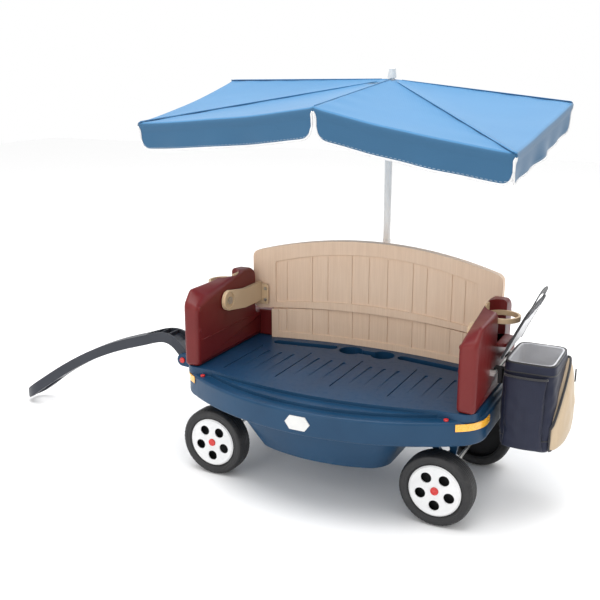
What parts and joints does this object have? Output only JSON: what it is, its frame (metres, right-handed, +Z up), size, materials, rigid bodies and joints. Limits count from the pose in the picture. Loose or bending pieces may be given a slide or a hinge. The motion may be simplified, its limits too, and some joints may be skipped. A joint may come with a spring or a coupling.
{
  "type": "pull wagon",
  "caption": "Child's pull wagon with a swing-over bench backrest, drop-down pull handle, tilting sun umbrella and a hang-on insulated bag.",
  "frame": {"origin": "on the floor, under the centre of the whole assembly's plan box", "axes": "+X to the rear end with the bag, -X to the pull handle, +Y to the backrest, +Z up"},
  "size_m": [1.8762, 0.968, 1.1591],
  "materials": {
    "navy_body": "satin moulded plastic",
    "maroon_panel": "satin moulded plastic",
    "tan_panel": "satin moulded plastic with a fine upright grain",
    "tan_trim": "satin moulded plastic",
    "screw_steel": "plated steel",
    "red_trim": "gloss plastic",
    "charcoal_handle": "satin moulded plastic",
    "tyre_black": "matt ribbed tread",
    "core_black": "matt plastic",
    "hubcap_white": "gloss plastic",
    "amber_reflector": "ribbed reflector",
    "badge_plate": "gloss plastic, blank",
    "pole_white": "gloss enamel",
    "white_plastic": "gloss plastic",
    "canopy_fabric": "woven polyester",
    "bag_fabric": "coated woven nylon",
    "bag_lining": "heat-sealed white lining",
    "webbing_black": "polyester webbing",
    "pocket_tan": "woven polyester"
  },
  "bodies": {
    "wagon": {"wagon_body": "navy_body", "end_panel_rear": "maroon_panel", "end_panel_front": "maroon_panel", "cup_ring_rear": "tan_trim", "cup_ring_front": "tan_trim", "back_panel_lower": "tan_panel", "pivot_screw_rear": "screw_steel", "pivot_screw_front": "screw_steel", "hitch_pin": "screw_steel", "hitch_pin_caps": "red_trim", "axles": "screw_steel", "axle_brackets": "navy_body", "reflectors": "amber_reflector", "badge": "badge_plate", "deck_plugs": "red_trim", "pole_socket": "navy_body", "cooler_rail": "screw_steel"},
    "handle": {"pull_handle": "charcoal_handle"},
    "swing_back": {"back_panel_upper": "tan_panel", "swing_arm_rear": "tan_trim", "swing_arm_front": "tan_trim", "plate_screws": "screw_steel"},
    "wheel_front_near": {"tyre_front_near": "tyre_black", "wheel_core_front_near": "core_black", "hubcap_front_near": "hubcap_white", "axle_cap_front_near": "red_trim"},
    "wheel_rear_near": {"tyre_rear_near": "tyre_black", "wheel_core_rear_near": "core_black", "hubcap_rear_near": "hubcap_white", "axle_cap_rear_near": "red_trim"},
    "wheel_front_far": {"tyre_front_far": "tyre_black", "wheel_core_front_far": "core_black", "hubcap_front_far": "hubcap_white", "axle_cap_front_far": "red_trim"},
    "wheel_rear_far": {"tyre_rear_far": "tyre_black", "wheel_core_rear_far": "core_black", "hubcap_rear_far": "hubcap_white", "axle_cap_rear_far": "red_trim"},
    "pole_foot": {"pole_sleeve": "pole_white"},
    "pole_top": {"umbrella_pole": "pole_white", "tilt_fork": "white_plastic", "tilt_pin": "screw_steel"},
    "canopy": {"canopy_stub": "pole_white", "rib_hub": "white_plastic", "runner": "white_plastic", "ribs": "pole_white", "stretchers": "pole_white", "rib_tips": "white_plastic", "canopy_cover": "canopy_fabric", "canopy_valance": "canopy_fabric", "finial": "white_plastic"},
    "cooler": {"cooler_bag": "bag_fabric", "cooler_liner": "bag_lining", "side_pocket": "pocket_tan", "front_pocket": "bag_fabric", "zip_pull": "core_black", "bag_hooks": "core_black"},
    "cooler_lid": {"cooler_lid": "bag_lining", "lid_loop": "webbing_black"}
  },
  "joints": [
    {"name": "handle_hinge", "type": "hinge", "parent": "wagon", "child": "handle", "pos_m": [-0.2431, -0.136, 0.267], "axis": [0, 1, 0], "range_deg": [0, 75]},
    {"name": "back_swing", "type": "hinge", "parent": "wagon", "child": "swing_back", "pos_m": [0.3099, -0.2, 0.487], "axis": [1, 0, 0], "range_deg": [0, 180]},
    {"name": "spin_front_near", "type": "hinge", "parent": "wagon", "child": "wheel_front_near", "pos_m": [-0.0286, -0.3375, 0.1], "axis": [0, 1, 0], "continuous": true},
    {"name": "spin_rear_near", "type": "hinge", "parent": "wagon", "child": "wheel_rear_near", "pos_m": [0.6484, -0.3375, 0.1], "axis": [0, 1, 0], "continuous": true},
    {"name": "spin_front_far", "type": "hinge", "parent": "wagon", "child": "wheel_front_far", "pos_m": [-0.0286, 0.0655, 0.1], "axis": [0, 1, 0], "continuous": true},
    {"name": "spin_rear_far", "type": "hinge", "parent": "wagon", "child": "wheel_rear_far", "pos_m": [0.6484, 0.0655, 0.1], "axis": [0, 1, 0], "continuous": true},
    {"name": "umbrella_lift", "type": "slide", "parent": "wagon", "child": "pole_foot", "axis": [0, 0, 1], "range_m": [0, 0.06]},
    {"name": "umbrella_turn", "type": "hinge", "parent": "pole_foot", "child": "pole_top", "pos_m": [0.3099, 0.129, 0.648], "axis": [0, 0, 1], "continuous": true},
    {"name": "canopy_tilt", "type": "hinge", "parent": "pole_top", "child": "canopy", "pos_m": [0.3099, 0.129, 0.95], "axis": [0.891, 0.454, 0], "range_deg": [-10.6, 12]},
    {"name": "cooler_lift", "type": "slide", "parent": "wagon", "child": "cooler", "axis": [0, 0, 1], "range_m": [0, 0.02]},
    {"name": "lid_hinge", "type": "hinge", "parent": "cooler", "child": "cooler_lid", "pos_m": [0.7699, -0.136, 0.442], "axis": [0, 1, 0], "range_deg": [0, 65]}
  ]
}
